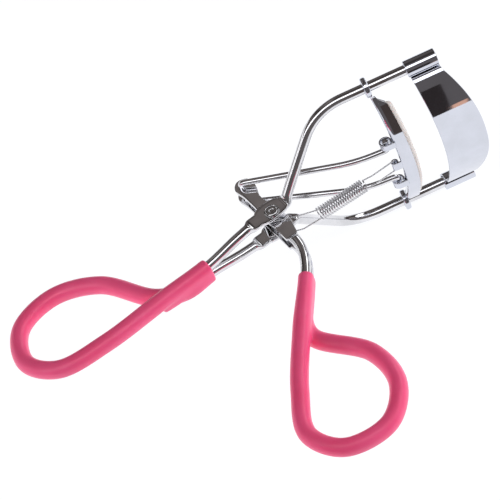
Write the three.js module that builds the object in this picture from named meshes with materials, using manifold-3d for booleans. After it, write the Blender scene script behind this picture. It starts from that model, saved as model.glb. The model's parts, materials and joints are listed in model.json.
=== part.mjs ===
// Eyelash curler: a bent-wire frame and a bent-wire lever joined by one rivet, with a moving jaw that
// slides on the frame's two rails towards a fixed jaw. Millimetres.
// The shapes are laid out around the rivet: X runs forward along the rails to the jaws, Z is the
// rivet's axis and the width of the jaws, and -Y is the side that the jaws bulge to and the handles
// hang on. The finished part is then moved so that its origin is the centre of its box's underside.
import * as THREE from 'three';
import { mergeVertices } from 'three/addons/utils/BufferGeometryUtils.js';
import Module from 'manifold-3d';

const wasm = await Module();
wasm.setup();

// Wires
const WIRE_D = 2.2;
const LINK_WIRE_D = 1.3;
const SPRING_WIRE_D = 0.38;

// How finely round wires are faceted
const WIRE_SIDES = 10;
const WIRE_STEP = 2.4;
const COAT_SIDES = 12;
const LINK_STEP = 0.9;
const COIL_SIDES = 5;
const HOOK_SIDES = 6;

// Running and seating gaps, each on the radius or on one side
const SLIDE_GAP = 0.12;
const PIN_GAP = 0.08;
const COAT_GAP = 0.16;
const SLEEVE_GAP = 0.1;
const PAD_GAP = 0.1;
const LINK_END_GAP = 0.3;

// Rails
const RAIL_SPACING = 36.1;
const RAIL_Y = 6.65;
const RAIL_TIP_X = 41.2;
const RAIL_CORNER_X = 15.8;
const RAIL_BEND = 6;

// Flattened ears around the rivet
const EAR_T = 0.75;
const LEVER_EAR_INNER_Z = 1.1;
const EAR_SPACE = 0.65;
const EAR_W = 3.6;
const EAR_EYE_R = 2.6;
const EAR_EYE_AT = [-0.2, 0.5];
const EAR_FRONT = [3.35, 1.45];
const EAR_REAR = [-4.9, -0.85];

// Rivet and washers
const RIVET_D = 1.8;
const RIVET_HEAD_D = 3.2;
const RIVET_HEAD_H = 0.6;
const HEAD_CROWN_SHARE = 0.7;
const HEAD_GAP = 0.06;
const WASHER_WALL = 0.37;
const WASHER_GAP = 0.1;

// Handles: each is a neck of two strands that opens into a finger loop
const STRAND_GAP = 0.1;
const COAT_WALL = 0.8;
const COAT_START = 12.2;
const LOOP_LENGTH = 29.8;
const FRAME_HANDLE_DEG = 196.65;
const FRAME_LOOP_START = [27.6, 0.62];
const FRAME_LOOP_WIDTH = 19.5;
const FRAME_STRAND_LEAN = 0;
const LEVER_HANDLE_DEG = 251.7;
const LEVER_LOOP_START = [29.2, 2.85];
const LEVER_LOOP_WIDTH = 19.65;
const LEVER_STRAND_LEAN = 0.09;

// Lever above and below the rivet
const LEVER_TIP = [-3.25, 10.8];
const LEAF_R = 2.2;
const LEAF_SHIFT = 0.5;
const ARM_W = 2.8;
const LEVER_EAR_FOOT = [1.4, -6.2];
const LEVER_WIRE_TOP = [1.45, -5.4];

// Push link
const LINK_BEND = 1;
const LINK_KNEE_BEND = 4;
const LINK_TIP_HALF = 3.1;
const LINK_KNEE = [19.5, 1.8];
const LINK_KNEE_HALF = 4.3;
const LINK_FRONT_Y = 1.4;

// Jaws: one arc in the YZ plane, and edges that bow forward in the XZ plane
const JAW_SAGITTA = 6.2;
const JAW_ARC_DROP = 1.05;
const JAW_BOW = 1.5;
const JAW_OPENING = 5.85;
const FIXED_REAR_X = 36;
const FIXED_W = 5.4;
const FIXED_FRONT_BOW = 5.3;
const FIXED_T = 0.7;
const FIXED_END_INSET = 0.4;
const SLEEVE_WALL = 0.5;
const SLEEVE_OVERHANG = 0.3;
const CHANNEL_DEPTH = 2.4;
const CHANNEL_H = 2.3;
const CHANNEL_WALL = 0.45;
const CHANNEL_REAR_BOW = 1.15;
const PAD_PROUD = 0.9;
const PAD_END_INSET = 1.3;
const EYELET_T = 1.2;
const EYELET_WALL = 1;
const EYELET_FORWARD = 0.1;
const EYELET_OVERLAP = 0.45;

// Curled tabs on the moving jaw's back
const TAB_W = 1.6;
const TAB_WALL = 0.4;
const TAB_SIDE_GAP = 0.3;
const TAB_STRAP = 1.7;
const TAB_SET_BACK = 0.35;
const HOOK_TAB_Y = 0.6;
const HOOK_TAB_HOLE_D = 0.8;
const HOOK_TAB_W = 2;

// Return spring
const COIL_D = 2.9;
const COIL_TURNS = 20;
const COIL_REAR = [8.9, -2.8];
const COIL_FRONT = [18.9, -0.7];
const HOOK_KNEE = [4.4, -2.95];
const HOOK_CORNER = [-2.55, -1.1];
const HOOK_BEND = 0.3;
const HOOK_SIDE_GAP = 0.35;

// Long enough to cut right through any piece, across it and along it
const THROUGH = 20;
const TALL = 60;

// Values worked out from those above
const WIRE_R = WIRE_D / 2;
const STRAND_HALF_GAP = WIRE_R + STRAND_GAP / 2;
const COAT_D = WIRE_D + 2 * COAT_WALL;
const RAIL_Z = RAIL_SPACING / 2;
const LEVER_EAR_OUTER_Z = LEVER_EAR_INNER_Z + EAR_T;
const LEVER_EAR_MID_Z = LEVER_EAR_INNER_Z + EAR_T / 2;
const FRAME_EAR_INNER_Z = LEVER_EAR_OUTER_Z + EAR_SPACE;
const FRAME_EAR_MID_Z = FRAME_EAR_INNER_Z + EAR_T / 2;
const RIVET_HOLE_R = RIVET_D / 2 + PIN_GAP;
const JAW_ARC_Y = RAIL_Y - JAW_ARC_DROP;
const JAW_ARC_R = (RAIL_Z ** 2 + JAW_SAGITTA ** 2) / (2 * JAW_SAGITTA);
const PAD_FRONT_X = FIXED_REAR_X - JAW_OPENING;
const CHANNEL_FRONT_X = PAD_FRONT_X - PAD_PROUD;
const CHANNEL_REAR_X = CHANNEL_FRONT_X - CHANNEL_DEPTH;
const EYELET_R = WIRE_R + SLIDE_GAP + EYELET_WALL;
const CHANNEL_HALF = RAIL_Z - EYELET_R + EYELET_OVERLAP;
const PAD_HALF = CHANNEL_HALF - PAD_END_INSET;
const LINK_FRONT = [CHANNEL_REAR_X - TAB_SET_BACK, LINK_FRONT_Y];
const LINK_TAB_Z = LINK_KNEE_HALF + LINK_WIRE_D / 2 + TAB_SIDE_GAP + TAB_W / 2;
const LINK_END_HALF = LINK_TAB_Z + TAB_W / 2;
const HOOK_TAB = [CHANNEL_REAR_X, HOOK_TAB_Y];

// --- solids -------------------------------------------------------------------------------------

function solid(geometry) {
  const bare = geometry.clone();
  bare.deleteAttribute('normal');
  bare.deleteAttribute('uv');
  const merged = mergeVertices(bare, 1e-5);
  const mesh = new wasm.Mesh({
    numProp: 3,
    vertProperties: new Float32Array(merged.attributes.position.array),
    triVerts: new Uint32Array(merged.index.array),
  });
  return new wasm.Manifold(mesh);
}

function union(...solids) {
  return solids.reduce((whole, next) => whole.add(next));
}

function meshOf(name, body, material) {
  const { vertProperties, triVerts } = body.getMesh();
  const geometry = new THREE.BufferGeometry();
  geometry.setAttribute('position', new THREE.BufferAttribute(vertProperties, 3));
  geometry.setIndex(new THREE.BufferAttribute(triVerts, 1));
  geometry.computeVertexNormals();
  const mesh = new THREE.Mesh(geometry, material);
  mesh.name = name;
  return mesh;
}

function circle(radius, x = 0, y = 0) {
  return new THREE.Shape().absarc(x, y, radius, 0, 2 * Math.PI, false);
}

// A round wire along a curve
function wire(curve, diameter, sides = WIRE_SIDES, step = WIRE_STEP) {
  const section = [];
  for (let i = 0; i < sides; i += 1) {
    const angle = (2 * Math.PI * i) / sides;
    section.push(new THREE.Vector2(Math.cos(angle), Math.sin(angle)).multiplyScalar(diameter / 2));
  }
  const steps = Math.ceil(curve.getLength() / step);
  const options = { steps, extrudePath: curve, bevelEnabled: false };
  return solid(new THREE.ExtrudeGeometry(new THREE.Shape(section), options));
}

// A flat plate in the XY plane, from z = low upwards
function plate(shape, low, thickness, curveSegments = 12) {
  const options = { depth: thickness, bevelEnabled: false, curveSegments };
  return solid(new THREE.ExtrudeGeometry(shape, options).translate(0, 0, low));
}

// A plate in the YZ plane, from x = low forwards; the shape's x is -Z and its y is Y
function crossPlate(shape, low, thickness, curveSegments = 12) {
  const options = { depth: thickness, bevelEnabled: false, curveSegments };
  const geometry = new THREE.ExtrudeGeometry(shape, options).rotateY(Math.PI / 2);
  return solid(geometry.translate(low, 0, 0));
}

// A bar with round ends from one point to another
function barShape(from, to, width) {
  const along = Math.atan2(to[1] - from[1], to[0] - from[0]);
  const shape = new THREE.Shape();
  shape.absarc(to[0], to[1], width / 2, along - Math.PI / 2, along + Math.PI / 2, false);
  shape.absarc(from[0], from[1], width / 2, along + Math.PI / 2, along + 1.5 * Math.PI, false);
  return shape;
}

// A path of straight stretches with rounded corners, each corner cut back by its bend length
function bentPath(corners) {
  const points = corners.map((corner) => new THREE.Vector3(...corner.at));
  const path = new THREE.CurvePath();
  let from = points[0];
  for (let i = 1; i < points.length - 1; i += 1) {
    const before = points[i].clone().add(points[i - 1].clone().sub(points[i]).setLength(corners[i].bend));
    const after = points[i].clone().add(points[i + 1].clone().sub(points[i]).setLength(corners[i].bend));
    path.add(new THREE.LineCurve3(from, before));
    path.add(new THREE.QuadraticBezierCurve3(before, points[i], after));
    from = after;
  }
  path.add(new THREE.LineCurve3(from, points[points.length - 1]));
  return path;
}

// The part of a curve between two lengths measured along it
class Stretch extends THREE.Curve {
  constructor(whole, from, to) {
    super();
    this.whole = whole;
    this.from = from / whole.getLength();
    this.to = to / whole.getLength();
  }

  getPoint(t, target = new THREE.Vector3()) {
    return this.whole.getPointAt(this.from + (this.to - this.from) * t, target);
  }
}

function mirrored(points) {
  return points.map(([x, y, z]) => [x, y, -z]).reverse();
}

// --- wire frame -----------------------------------------------------------------------------------

function railCurve(side) {
  return bentPath([
    { at: [RAIL_TIP_X, RAIL_Y, side * RAIL_Z] },
    { at: [RAIL_CORNER_X, RAIL_Y, side * RAIL_Z], bend: RAIL_BEND },
    { at: [...EAR_FRONT, side * FRAME_EAR_MID_Z] },
  ]);
}

// A handle's centreline: down one strand, round the finger loop and back up the other strand
function handleCurve(lead, degrees, start, width, lean) {
  const angle = THREE.MathUtils.degToRad(degrees);
  const along = new THREE.Vector2(Math.cos(angle), Math.sin(angle));
  const outward = new THREE.Vector2(-Math.sin(angle), Math.cos(angle));
  if (degrees < 225) outward.negate();
  // Shares of the loop's length and width, and of the crossing from one strand to the other
  const outline = [
    [0, lean, 1],
    [0.51, lean / 2, 1],
    [0.86, 0.11, 0.8],
    [0.99, 0.46, 0.3],
    [0.85, 0.9, -0.2],
    [0.53, 1.01, -0.6],
    [0.24, 0.77, -0.9],
    [0.03, 0.18, -1],
    [-0.15, lean, -1],
  ];
  const loop = outline.map(([u, v, crossing]) => {
    const at = along.clone().multiplyScalar(start[0] + u * LOOP_LENGTH);
    at.addScaledVector(outward, start[1] + v * width);
    return [at.x, at.y, crossing * STRAND_HALF_GAP];
  });
  const points = [...lead, ...loop, ...mirrored(lead)];
  return new THREE.CatmullRomCurve3(points.map((p) => new THREE.Vector3(...p)));
}

const frameHandle = handleCurve(
  [
    [...EAR_REAR, FRAME_EAR_MID_Z],
    [-9, -2.1, 2.4],
    [-16.1, -4.25, STRAND_HALF_GAP],
  ],
  FRAME_HANDLE_DEG,
  FRAME_LOOP_START,
  FRAME_LOOP_WIDTH,
  FRAME_STRAND_LEAN,
);
const leverHandle = handleCurve(
  [
    [...LEVER_WIRE_TOP, LEVER_EAR_MID_Z],
    [2.2, -10.2, 1.3],
    [1.35, -15, STRAND_HALF_GAP],
  ],
  LEVER_HANDLE_DEG,
  LEVER_LOOP_START,
  LEVER_LOOP_WIDTH,
  LEVER_STRAND_LEAN,
);

function frameEar(side) {
  const low = side > 0 ? FRAME_EAR_INNER_Z : -FRAME_EAR_INNER_Z - EAR_T;
  const bar = plate(barShape(EAR_REAR, EAR_FRONT, EAR_W), low, EAR_T);
  const eye = plate(circle(EAR_EYE_R, ...EAR_EYE_AT), low, EAR_T);
  return bar.add(eye);
}

// A round hole along Z through everything
function holeAlongZ(radius, x = 0, y = 0) {
  return plate(circle(radius, x, y), -THROUGH, 2 * THROUGH);
}

function frameWire() {
  const rails = [1, -1].map((side) => wire(railCurve(side), WIRE_D));
  const ears = [1, -1].map((side) => frameEar(side));
  const whole = union(...rails, ...ears, wire(frameHandle, WIRE_D));
  return whole.subtract(holeAlongZ(RIVET_HOLE_R));
}

// A tube along a handle, leaving out a length at each end. It is made in two halves, because its
// strands run into each other along the neck.
function alongHandle(handle, leftOut, diameter, sides) {
  const length = handle.getLength();
  const down = new Stretch(handle, leftOut, length / 2 + COAT_WALL);
  const back = new Stretch(handle, length / 2 - COAT_WALL, length - leftOut);
  return union(wire(down, diameter, sides), wire(back, diameter, sides));
}

// The soft coat on a handle, from a set length behind the ear, with a hollow for both strands
function gripCoat(handle) {
  const hollow = alongHandle(handle, 0, WIRE_D + 2 * COAT_GAP, WIRE_SIDES);
  return alongHandle(handle, COAT_START, COAT_D, COAT_SIDES).subtract(hollow);
}

// --- lever ---------------------------------------------------------------------------------------

function leverEar(side) {
  const low = side > 0 ? LEVER_EAR_INNER_Z : -LEVER_EAR_OUTER_Z;
  const foot = plate(barShape(LEVER_EAR_FOOT, [0, 0], EAR_W), low, EAR_T);
  const arm = plate(barShape([0, 0], LEVER_TIP, ARM_W), low, EAR_T);
  const leaf = plate(circle(LEAF_R, LEVER_TIP[0] + LEAF_SHIFT, LEVER_TIP[1]), low, EAR_T);
  return union(foot, arm, leaf);
}

function leverWire() {
  const whole = union(leverEar(1), leverEar(-1), wire(leverHandle, WIRE_D));
  const tipHole = holeAlongZ(LINK_WIRE_D / 2 + PIN_GAP, ...LEVER_TIP);
  return whole.subtract(holeAlongZ(RIVET_HOLE_R)).subtract(tipHole);
}

// --- rivet and washers ---------------------------------------------------------------------------

function rivet() {
  const seat = FRAME_EAR_INNER_Z + EAR_T + HEAD_GAP;
  const head = RIVET_HEAD_D / 2;
  const profile = [
    [0, -seat - RIVET_HEAD_H],
    [head * HEAD_CROWN_SHARE, -seat - RIVET_HEAD_H],
    [head, -seat - RIVET_HEAD_H / 2],
    [head, -seat],
    [RIVET_D / 2, -seat],
    [RIVET_D / 2, seat],
    [head, seat],
    [head, seat + RIVET_HEAD_H / 2],
    [head * HEAD_CROWN_SHARE, seat + RIVET_HEAD_H],
    [0, seat + RIVET_HEAD_H],
  ].map(([r, y]) => new THREE.Vector2(r, y));
  return solid(new THREE.LatheGeometry(profile, 24).rotateX(Math.PI / 2));
}

function washer(side) {
  const ring = circle(RIVET_HOLE_R + WASHER_WALL);
  ring.holes.push(circle(RIVET_HOLE_R));
  const thickness = EAR_SPACE - 2 * WASHER_GAP;
  const middle = side * (LEVER_EAR_OUTER_Z + EAR_SPACE / 2);
  return plate(ring, middle - thickness / 2, thickness);
}

// --- push link -----------------------------------------------------------------------------------

function pushLink() {
  const half = [
    { at: [...LINK_FRONT, LINK_END_HALF] },
    { at: [...LINK_FRONT, LINK_KNEE_HALF], bend: LINK_BEND },
    { at: [...LINK_KNEE, LINK_KNEE_HALF], bend: LINK_KNEE_BEND },
    { at: [...LEVER_TIP, LINK_TIP_HALF], bend: LINK_BEND },
  ];
  const other = half.map(({ at, bend }) => ({ at: [at[0], at[1], -at[2]], bend })).reverse();
  return wire(bentPath([...half, ...other]), LINK_WIRE_D, WIRE_SIDES, LINK_STEP);
}

// --- jaws ----------------------------------------------------------------------------------------

// The band between two offsets from the jaws' arc, swept along X
function arcBand(inner, outer, from, length) {
  const centreY = JAW_ARC_Y - JAW_SAGITTA + JAW_ARC_R;
  const half = Math.asin(RAIL_Z / JAW_ARC_R);
  const start = -Math.PI / 2 - half;
  const end = -Math.PI / 2 + half;
  const shape = new THREE.Shape();
  shape.absarc(0, centreY, JAW_ARC_R - inner, start, end, false);
  shape.absarc(0, centreY, JAW_ARC_R - outer, end, start, true);
  return crossPlate(shape, from, length, 14);
}

// A slab between two bowed edges, seen along Y
function bowedSlab(rearX, rearBow, frontX, frontBow, halfWidth) {
  const shape = new THREE.Shape();
  const bowAt = (bow) => bow * (1 - (halfWidth / RAIL_Z) ** 2);
  const rearEnd = rearX + bowAt(rearBow);
  const frontEnd = frontX + bowAt(frontBow);
  shape.moveTo(rearEnd, -halfWidth);
  shape.lineTo(frontEnd, -halfWidth);
  shape.quadraticCurveTo(2 * (frontX + frontBow) - frontEnd, 0, frontEnd, halfWidth);
  shape.lineTo(rearEnd, halfWidth);
  shape.quadraticCurveTo(2 * (rearX + rearBow) - rearEnd, 0, rearEnd, -halfWidth);
  const options = { depth: TALL, bevelEnabled: false, curveSegments: 14 };
  const geometry = new THREE.ExtrudeGeometry(shape, options).rotateX(-Math.PI / 2);
  return solid(geometry.translate(0, -TALL / 2, 0));
}

function onRail(radius, from, length, side) {
  return crossPlate(circle(radius, -side * RAIL_Z, RAIL_Y), from, length);
}

function fixedJaw() {
  const plateHalf = RAIL_Z - FIXED_END_INSET;
  const frontX = FIXED_REAR_X + FIXED_W;
  const band = arcBand(0, FIXED_T, FIXED_REAR_X - 1, FIXED_W + FIXED_FRONT_BOW + 2);
  let jaw = band.intersect(bowedSlab(FIXED_REAR_X, JAW_BOW, frontX, FIXED_FRONT_BOW, plateHalf));
  const bore = WIRE_R + SLEEVE_GAP;
  for (const side of [1, -1]) {
    const length = FIXED_W + 2 * SLEEVE_OVERHANG;
    jaw = jaw.add(onRail(bore + SLEEVE_WALL, FIXED_REAR_X - SLEEVE_OVERHANG, length, side));
  }
  for (const side of [1, -1]) {
    jaw = jaw.subtract(onRail(bore, FIXED_REAR_X - THROUGH / 2, FIXED_W + THROUGH, side));
  }
  return jaw;
}

// A curled tab at the channel's back, around an axis along Z
function curledTab(x, y, holeRadius, wall, centreZ, width) {
  const ring = plate(circle(holeRadius + wall, x, y), centreZ - width / 2, width);
  const strapLow = y - holeRadius - wall;
  const strap = new THREE.Shape();
  strap.moveTo(x, strapLow);
  strap.lineTo(x + TAB_STRAP, strapLow);
  strap.lineTo(x + TAB_STRAP, strapLow + wall);
  strap.lineTo(x, strapLow + wall);
  return ring.add(plate(strap, centreZ - width / 2, width));
}

function movingJaw() {
  const before = CHANNEL_REAR_X - 1;
  const reach = CHANNEL_DEPTH + JAW_BOW + 2;
  const band = arcBand(0, CHANNEL_H, before, reach);
  const edges = bowedSlab(CHANNEL_REAR_X, CHANNEL_REAR_BOW, CHANNEL_FRONT_X, JAW_BOW, CHANNEL_HALF);
  const slotBand = arcBand(CHANNEL_WALL, CHANNEL_H - CHANNEL_WALL, before, 2 * reach);
  const slotRear = CHANNEL_REAR_X + CHANNEL_WALL;
  const slotEdges = bowedSlab(slotRear, CHANNEL_REAR_BOW, CHANNEL_FRONT_X + reach, JAW_BOW, RAIL_Z);
  let jaw = band.intersect(edges).subtract(slotBand.intersect(slotEdges));
  const linkHole = LINK_WIRE_D / 2 + LINK_END_GAP;
  const hookHole = HOOK_TAB_HOLE_D / 2;
  for (const side of [1, -1]) {
    jaw = jaw.add(curledTab(...LINK_FRONT, linkHole, TAB_WALL, side * LINK_TAB_Z, TAB_W));
    jaw = jaw.add(onRail(EYELET_R, CHANNEL_REAR_X + EYELET_FORWARD, EYELET_T, side));
  }
  jaw = jaw.add(curledTab(...HOOK_TAB, hookHole, TAB_WALL, 0, HOOK_TAB_W));
  for (const side of [1, -1]) {
    jaw = jaw.subtract(onRail(WIRE_R + SLIDE_GAP, before, 2 * reach, side));
  }
  return jaw.subtract(holeAlongZ(linkHole, ...LINK_FRONT)).subtract(holeAlongZ(hookHole, ...HOOK_TAB));
}

function jawPad() {
  const inset = CHANNEL_WALL + PAD_GAP;
  const rearX = CHANNEL_REAR_X + inset;
  const band = arcBand(inset, CHANNEL_H - inset, rearX, PAD_FRONT_X + JAW_BOW - rearX + 1);
  return band.intersect(bowedSlab(rearX, CHANNEL_REAR_BOW, PAD_FRONT_X, JAW_BOW, PAD_HALF));
}

// --- return spring -------------------------------------------------------------------------------

// One wire: a hook behind the lever's ears, the coil, and a hook through the moving jaw's middle tab
class SpringCurve extends THREE.Curve {
  getPoint(t, target = new THREE.Vector3()) {
    const rear = new THREE.Vector3(...COIL_REAR, 0);
    const axis = new THREE.Vector3(...COIL_FRONT, 0).sub(rear);
    const across = new THREE.Vector3(-axis.y, axis.x, 0).normalize();
    const turn = 2 * Math.PI * COIL_TURNS * t;
    const radius = (COIL_D - SPRING_WIRE_D) / 2;
    target.copy(rear).addScaledVector(axis, t).addScaledVector(across, radius * Math.sin(turn));
    target.z += radius * Math.cos(turn);
    return target;
  }
}

// A loop of wire from one side of the coil's end, through the given points, and back on the other
function springHook(coilEnd, places, half) {
  const start = (COIL_D - SPRING_WIRE_D) / 2;
  const turns = places.map((place) => ({ at: [...place, half], bend: HOOK_BEND }));
  const side = [{ at: [...coilEnd, start] }, ...turns];
  const other = side.map(({ at, bend }) => ({ at: [at[0], at[1], -at[2]], bend })).reverse();
  return wire(bentPath([...side, ...other]), SPRING_WIRE_D, HOOK_SIDES, LINK_STEP);
}

function returnSpring() {
  const coil = wire(new SpringCurve(), SPRING_WIRE_D, COIL_SIDES, LINK_STEP);
  const betweenEars = LEVER_EAR_OUTER_Z + EAR_SPACE / 2;
  const rearHook = springHook(COIL_REAR, [HOOK_KNEE, HOOK_CORNER], betweenEars);
  const frontHook = springHook(COIL_FRONT, [HOOK_TAB], HOOK_TAB_W / 2 + HOOK_SIDE_GAP);
  return union(coil, rearHook, frontHook);
}

// --- assembly ------------------------------------------------------------------------------------

const chrome = new THREE.MeshStandardMaterial({ color: 0xc9ccd2, roughness: 0.12, metalness: 1 });
const darkSteel = new THREE.MeshStandardMaterial({ color: 0x9a9da3, roughness: 0.25, metalness: 1 });
const pinkCoat = new THREE.MeshStandardMaterial({ color: 0xec5886, roughness: 0.35, metalness: 0 });
const whitePad = new THREE.MeshStandardMaterial({ color: 0xe6e2df, roughness: 0.55, metalness: 0 });

const assembly = new THREE.Group();
assembly.add(
  meshOf('frame_wire', frameWire(), chrome),
  meshOf('frame_grip', gripCoat(frameHandle), pinkCoat),
  meshOf('fixed_jaw', fixedJaw(), chrome),
  meshOf('lever_wire', leverWire(), chrome),
  meshOf('lever_grip', gripCoat(leverHandle), pinkCoat),
  meshOf('hinge_rivet', rivet(), darkSteel),
  meshOf('left_washer', washer(1), darkSteel),
  meshOf('right_washer', washer(-1), darkSteel),
  meshOf('push_link', pushLink(), chrome),
  meshOf('moving_jaw', movingJaw(), chrome),
  meshOf('jaw_pad', jawPad(), whitePad),
  meshOf('return_spring', returnSpring(), darkSteel),
);

const box = new THREE.Box3().setFromObject(assembly);
const middle = box.getCenter(new THREE.Vector3());
assembly.position.set(-middle.x, -middle.y, -box.min.z);

const part = new THREE.Group();
part.add(assembly);
export default part;
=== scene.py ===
import json
import math

import bmesh
import bpy
import numpy as np
from mathutils import Matrix, Vector

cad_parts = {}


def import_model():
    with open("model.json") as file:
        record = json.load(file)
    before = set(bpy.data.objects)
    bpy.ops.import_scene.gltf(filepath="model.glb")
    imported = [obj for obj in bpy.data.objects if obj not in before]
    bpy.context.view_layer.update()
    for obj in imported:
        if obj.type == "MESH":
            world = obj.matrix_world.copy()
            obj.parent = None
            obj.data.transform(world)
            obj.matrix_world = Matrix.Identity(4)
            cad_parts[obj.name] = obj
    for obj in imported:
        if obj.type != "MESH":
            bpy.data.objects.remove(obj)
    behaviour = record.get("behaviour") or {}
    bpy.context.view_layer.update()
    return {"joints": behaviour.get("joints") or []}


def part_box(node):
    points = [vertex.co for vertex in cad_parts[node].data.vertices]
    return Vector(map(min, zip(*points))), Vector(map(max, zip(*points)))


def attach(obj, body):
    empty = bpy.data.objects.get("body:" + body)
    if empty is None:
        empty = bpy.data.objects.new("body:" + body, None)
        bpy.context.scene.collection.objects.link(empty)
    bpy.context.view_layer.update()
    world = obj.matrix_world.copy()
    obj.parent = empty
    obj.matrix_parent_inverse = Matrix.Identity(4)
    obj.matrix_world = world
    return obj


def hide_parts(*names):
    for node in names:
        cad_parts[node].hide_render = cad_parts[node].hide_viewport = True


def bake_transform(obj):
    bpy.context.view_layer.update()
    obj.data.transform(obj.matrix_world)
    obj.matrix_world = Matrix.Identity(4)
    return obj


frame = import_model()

MM = 0.001
JOINTS = {joint["name"]: joint for joint in frame["joints"]}
RIVET_AT = np.array(JOINTS["lever_pivot"]["pos_m"])


def at(points):
    """Millimetres around the rivet to metres in the row frame."""
    return np.asarray(points, float) * MM + RIVET_AT


def around_rivet(point):
    """Metres in the row frame to millimetres around the rivet."""
    return (np.array(point) - RIVET_AT) / MM


def cad_box(node):
    """A CAD node's box, in millimetres around the rivet."""
    low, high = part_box(node)
    return around_rivet(low), around_rivet(high)


# --- sizes, in millimetres ----------------------------------------------------------------------

WIRE_R = 1.1
LINK_WIRE_R = 0.65
SPRING_WIRE_R = 0.15
COAT_R = 1.9

RAIL_Y = 6.65
RAIL_CORNER_X = 15.8
RAIL_BEND = 6.0
EAR_T = 0.75
EAR_MID_Z = 2.875
EAR_FRONT = (3.35, 1.45)
EAR_REAR = (-4.9, -0.85)
EAR_HALF_HEIGHT = 1.72
EAR_NEAR_X = 2.5
EAR_NEAR_Z = 0.9
EYE_AT = (-0.2, 0.5)
EYE_REACH = 2.9
EYE_BULGE = 0.95
EYE_BULGE_BELOW = 0.55 * EYE_BULGE

LEVER_EAR_LOW_Z = 1.1
LEVER_TIP = tuple(around_rivet(JOINTS["link_pivot"]["pos_m"])[:2])

STRAND_HALF_GAP = 1.15
COAT_START = 12.2
COAT_END = 0.3
LOOP_LENGTH = 29.8

FIXED_LOW, FIXED_HIGH = cad_box("fixed_jaw")
PAD_LOW, PAD_HIGH = cad_box("jaw_pad")
RAIL_TIP_X = cad_box("frame_wire")[1][0]
CAD_SLEEVE_R = 1.7
RAIL_Z = FIXED_HIGH[2] - CAD_SLEEVE_R
SLEEVE_R = 1.8
JAW_SAGITTA = 6.2
JAW_ARC_Y = RAIL_Y - 1.05
JAW_ARC_R = (RAIL_Z ** 2 + JAW_SAGITTA ** 2) / (2 * JAW_SAGITTA)
JAW_ARC_CENTRE_Y = JAW_ARC_Y - JAW_SAGITTA + JAW_ARC_R
JAW_BOW = 1.5


# --- curves -------------------------------------------------------------------------------------

def span_lengths(points):
    return np.linalg.norm(np.diff(points, axis=0), axis=1)


def path_length(points):
    return float(span_lengths(points).sum())


def lengths_along(points):
    """How far along a polyline each of its points is."""
    return np.concatenate([[0], np.cumsum(span_lengths(points))])


def places_along(points, along, wanted):
    """The places on a polyline at the wanted lengths along it."""
    return np.stack([np.interp(wanted, along, points[:, k]) for k in range(3)], axis=1)


def resample(points, step):
    """Points a fixed step apart along a polyline."""
    points = np.asarray(points, float)
    along = lengths_along(points)
    count = max(2, int(round(along[-1] / step)) + 1)
    return places_along(points, along, np.linspace(0, along[-1], count))


def stretch(points, start, end):
    """The part of a polyline between two lengths along it."""
    along = lengths_along(points)
    inner = (along > start) & (along < end)
    return places_along(points, along, np.concatenate([[start], along[inner], [end]]))


def directions(path):
    """The unit tangent at each point of a path."""
    tangents = np.gradient(path, axis=0)
    return tangents / np.linalg.norm(tangents, axis=1)[:, None]


def sideways(outline):
    """The unit normal at each point of an outline that lies in a plane."""
    way = directions(outline)
    return np.column_stack([way[:, 1], -way[:, 0]])


def smooth_curve(points, per_span=24):
    """The centripetal Catmull-Rom curve through the points, as a polyline."""
    p = [np.array(q, float) for q in points]
    p = [2 * p[0] - p[1], *p, 2 * p[-1] - p[-2]]
    out = []
    for i in range(1, len(p) - 2):
        p0, p1, p2, p3 = p[i - 1: i + 3]
        d0, d1, d2 = (np.linalg.norm(b - a) ** 0.5 for a, b in ((p0, p1), (p1, p2), (p2, p3)))
        t1 = ((p1 - p0) / d0 - (p2 - p0) / (d0 + d1) + (p2 - p1) / d1) * d1
        t2 = ((p2 - p1) / d1 - (p3 - p1) / (d1 + d2) + (p3 - p2) / d2) * d1
        for t in np.arange(per_span) / per_span:
            c2 = -3 * p1 + 3 * p2 - 2 * t1 - t2
            c3 = 2 * p1 - 2 * p2 + t1 + t2
            out.append(p1 + t1 * t + c2 * t * t + c3 * t ** 3)
    out.append(p[-2])
    return np.array(out)


def rounded_corner(corner, back, onward, reach, steps):
    """A curve that starts and ends a given reach away from a corner, on the sides back and onward."""
    before = corner + back / np.linalg.norm(back) * reach
    after = corner + onward / np.linalg.norm(onward) * reach
    shares = np.linspace(0, 1, steps)
    return [(1 - t) ** 2 * before + 2 * t * (1 - t) * corner + t * t * after for t in shares]


def bent(corners, steps=14):
    """Straight stretches joined by rounded corners: (point, bend length) for each corner."""
    points = [np.array(c[0], float) for c in corners]
    out = [points[0]]
    for i in range(1, len(points) - 1):
        here = points[i]
        out += rounded_corner(here, points[i - 1] - here, points[i + 1] - here, corners[i][1], steps)
    out.append(points[-1])
    return np.array(out)


def mirrored(points):
    """The same points on the other side, in reverse order, so that the path goes on."""
    return [(p[0], p[1], -p[2]) for p in reversed(list(points))]


def both_sides(corners):
    """The corners of a bent wire, followed by the same corners on the other side."""
    return [*corners, *(((x, y, -z), bend) for (x, y, z), bend in reversed(corners))]


def squared_off(wave, power):
    """A cosine or sine flattened towards its ends, which turns a circle into a rounded square."""
    return np.sign(wave) * np.abs(wave) ** power


def smoothstep(x, low, high):
    t = np.clip((np.asarray(x, float) - low) / (high - low), 0, 1)
    return t * t * (3 - 2 * t)


# --- meshes -------------------------------------------------------------------------------------

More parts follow.
